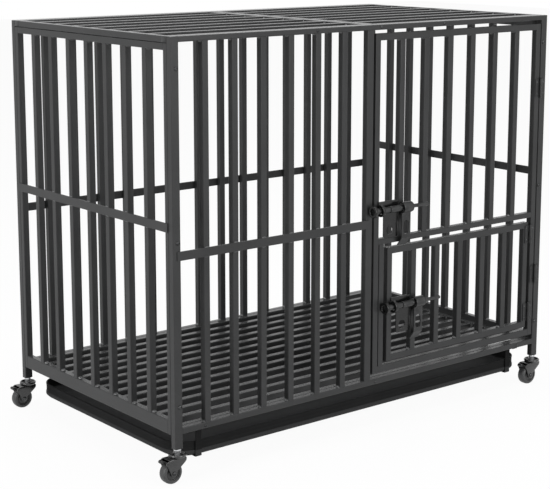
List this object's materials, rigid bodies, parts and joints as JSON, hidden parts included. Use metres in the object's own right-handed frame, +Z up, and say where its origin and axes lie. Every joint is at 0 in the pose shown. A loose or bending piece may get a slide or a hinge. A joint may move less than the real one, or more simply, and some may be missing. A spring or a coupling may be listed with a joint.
{
  "type": "dog crate",
  "caption": "Rolling dog crate of welded square tube with a hinged door, a smaller feeding door, slide bolts and a pull-out waste tray.",
  "frame": {"origin": "on the ground, below the middle of the whole box", "axes": "+X along the crate to the hinge side of the doors, +Y from the door side to the back, +Z up"},
  "size_m": [1.2162, 0.7198, 0.975],
  "materials": {
    "panel_powder_coat": "charcoal powder coat, lightly textured, satin",
    "tray_steel": "black painted sheet steel, matt",
    "hinge_steel": "dark coated steel",
    "bolt_steel": "dark coated steel, semi-gloss",
    "stem_zinc": "bright zinc plate",
    "fork_steel": "black gloss over pressed steel",
    "tyre": "dark grey, satin",
    "fastener_zinc": "dull zinc plate",
    "pedal_plastic": "black moulded plastic"
  },
  "bodies": {
    "frame": {"front_frame": "panel_powder_coat", "back_frame": "panel_powder_coat", "left_panel": "panel_powder_coat", "right_panel": "panel_powder_coat", "top_panel_left": "panel_powder_coat", "top_panel_right": "panel_powder_coat", "floor_grate": "panel_powder_coat", "tray_hanger_front_left": "panel_powder_coat", "tray_hanger_front_right": "panel_powder_coat", "tray_hanger_back_left": "panel_powder_coat", "tray_hanger_back_right": "panel_powder_coat", "corner_bolt_front_left": "fastener_zinc", "corner_bolt_front_right": "fastener_zinc", "corner_bolt_back_left": "fastener_zinc", "corner_bolt_back_right": "fastener_zinc", "caster_stem_front_left": "stem_zinc", "caster_stem_front_right": "stem_zinc", "caster_stem_back_left": "stem_zinc", "caster_stem_back_right": "stem_zinc", "main_upper_hinge_fixed_leaf": "hinge_steel", "main_lower_hinge_fixed_leaf": "hinge_steel", "main_upper_hinge_pin": "fastener_zinc", "main_lower_hinge_pin": "fastener_zinc", "upper_bolt_keeper": "bolt_steel"},
    "main_door": {"main_door": "panel_powder_coat", "main_upper_hinge_door_leaf": "hinge_steel", "main_lower_hinge_door_leaf": "hinge_steel", "feed_upper_hinge_fixed_leaf": "hinge_steel", "feed_lower_hinge_fixed_leaf": "hinge_steel", "feed_upper_hinge_pin": "fastener_zinc", "feed_lower_hinge_pin": "fastener_zinc", "upper_bolt_guide": "bolt_steel", "upper_bolt_strap": "bolt_steel", "lower_bolt_keeper": "bolt_steel"},
    "feed_door": {"feed_door": "panel_powder_coat", "feed_upper_hinge_door_leaf": "hinge_steel", "feed_lower_hinge_door_leaf": "hinge_steel", "lower_bolt_guide": "bolt_steel", "lower_bolt_strap": "bolt_steel"},
    "upper_bolt": {"upper_bolt_rod": "bolt_steel"},
    "upper_hasp": {"upper_bolt_hasp": "bolt_steel"},
    "lower_bolt": {"lower_bolt_rod": "bolt_steel"},
    "lower_hasp": {"lower_bolt_hasp": "bolt_steel"},
    "tray": {"tray": "tray_steel"},
    "fork_front_left": {"caster_fork_front_left": "fork_steel", "caster_axle_front_left": "fastener_zinc"},
    "wheel_front_left": {"caster_wheel_front_left": "tyre"},
    "pedal_front_left": {"caster_pedal_front_left": "pedal_plastic"},
    "fork_front_right": {"caster_fork_front_right": "fork_steel", "caster_axle_front_right": "fastener_zinc"},
    "wheel_front_right": {"caster_wheel_front_right": "tyre"},
    "pedal_front_right": {"caster_pedal_front_right": "pedal_plastic"},
    "fork_back_left": {"caster_fork_back_left": "fork_steel", "caster_axle_back_left": "fastener_zinc"},
    "wheel_back_left": {"caster_wheel_back_left": "tyre"},
    "pedal_back_left": {"caster_pedal_back_left": "pedal_plastic"},
    "fork_back_right": {"caster_fork_back_right": "fork_steel", "caster_axle_back_right": "fastener_zinc"},
    "wheel_back_right": {"caster_wheel_back_right": "tyre"},
    "pedal_back_right": {"caster_pedal_back_right": "pedal_plastic"}
  },
  "joints": [
    {"name": "main_door_hinge", "type": "hinge", "parent": "frame", "child": "main_door", "pos_m": [0.5761, -0.33435, 0.545], "axis": [0, 0, 1], "range_deg": [0, 175]},
    {"name": "feed_door_hinge", "type": "hinge", "parent": "main_door", "child": "feed_door", "pos_m": [0.5536, -0.33435, 0.3], "axis": [0, 0, -1], "range_deg": [-165, 0]},
    {"name": "upper_bolt_slide", "type": "slide", "parent": "main_door", "child": "upper_bolt", "axis": [1, 0, 0], "range_m": [-0.0105, 0.003]},
    {"name": "upper_hasp_swing", "type": "hinge", "parent": "upper_bolt", "child": "upper_hasp", "pos_m": [0.0567, -0.34535, 0.538], "axis": [-1, 0, 0], "range_deg": [0, 110]},
    {"name": "lower_bolt_slide", "type": "slide", "parent": "feed_door", "child": "lower_bolt", "axis": [1, 0, 0], "range_m": [-0.0105, 0.003]},
    {"name": "lower_hasp_swing", "type": "hinge", "parent": "lower_bolt", "child": "lower_hasp", "pos_m": [0.1017, -0.34535, 0.298], "axis": [-1, 0, 0], "range_deg": [0, 110]},
    {"name": "tray_slide", "type": "slide", "parent": "frame", "child": "tray", "axis": [-1, 0, 0], "range_m": [0, 0.6]},
    {"name": "swivel_front_left", "type": "hinge", "parent": "frame", "child": "fork_front_left", "pos_m": [-0.5604, -0.32235, 0.06], "axis": [0, 0, 1], "continuous": true},
    {"name": "wheel_spin_front_left", "type": "hinge", "parent": "fork_front_left", "child": "wheel_front_left", "pos_m": [-0.5784, -0.32235, 0.025], "axis": [0, 1, 0], "continuous": true},
    {"name": "pedal_press_front_left", "type": "hinge", "parent": "fork_front_left", "child": "pedal_front_left", "pos_m": [-0.5944, -0.32235, 0.051], "axis": [0, -1, 0], "range_deg": [0, 18]},
    {"name": "swivel_front_right", "type": "hinge", "parent": "frame", "child": "fork_front_right", "pos_m": [0.5876, -0.32235, 0.06], "axis": [0, 0, 1], "continuous": true},
    {"name": "wheel_spin_front_right", "type": "hinge", "parent": "fork_front_right", "child": "wheel_front_right", "pos_m": [0.5696, -0.32235, 0.025], "axis": [0, 1, 0], "continuous": true},
    {"name": "pedal_press_front_right", "type": "hinge", "parent": "fork_front_right", "child": "pedal_front_right", "pos_m": [0.5536, -0.32235, 0.051], "axis": [0, -1, 0], "range_deg": [0, 18]},
    {"name": "swivel_back_left", "type": "hinge", "parent": "frame", "child": "fork_back_left", "pos_m": [-0.5604, 0.33965, 0.06], "axis": [0, 0, 1], "continuous": true},
    {"name": "wheel_spin_back_left", "type": "hinge", "parent": "fork_back_left", "child": "wheel_back_left", "pos_m": [-0.5784, 0.33965, 0.025], "axis": [0, 1, 0], "continuous": true},
    {"name": "pedal_press_back_left", "type": "hinge", "parent": "fork_back_left", "child": "pedal_back_left", "pos_m": [-0.5944, 0.33965, 0.051], "axis": [0, -1, 0], "range_deg": [0, 18]},
    {"name": "swivel_back_right", "type": "hinge", "parent": "frame", "child": "fork_back_right", "pos_m": [0.5876, 0.33965, 0.06], "axis": [0, 0, 1], "continuous": true},
    {"name": "wheel_spin_back_right", "type": "hinge", "parent": "fork_back_right", "child": "wheel_back_right", "pos_m": [0.5696, 0.33965, 0.025], "axis": [0, 1, 0], "continuous": true},
    {"name": "pedal_press_back_right", "type": "hinge", "parent": "fork_back_right", "child": "pedal_back_right", "pos_m": [0.5536, 0.33965, 0.051], "axis": [0, -1, 0], "range_deg": [0, 18]}
  ]
}
